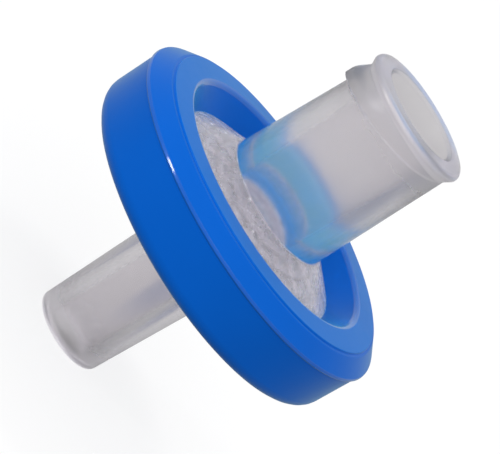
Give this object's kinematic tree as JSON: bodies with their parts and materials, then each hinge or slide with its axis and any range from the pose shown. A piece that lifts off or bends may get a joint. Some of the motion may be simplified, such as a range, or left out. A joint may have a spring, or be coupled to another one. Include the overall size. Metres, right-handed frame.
{
  "type": "syringe filter",
  "caption": "Small round syringe filter with a blue moulded ring, a female Luer inlet hub and a male Luer slip outlet tube.",
  "frame": {"origin": "centre of the outlet tip's end face, on which the part stands", "axes": "+Z along the flow axis, from the outlet tip to the inlet mouth; +X and +Y across it"},
  "size_m": [0.0166, 0.0166, 0.0189],
  "materials": {
    "natural_polypropylene": "smooth, translucent, slightly hazy",
    "filter_sheet": "matt white",
    "blue_polypropylene": "smooth satin gloss"
  },
  "bodies": {
    "root": {"outlet_housing": "natural_polypropylene", "filter_membrane": "filter_sheet", "inlet_housing": "natural_polypropylene", "overmould_ring": "blue_polypropylene"}
  },
  "joints": []
}
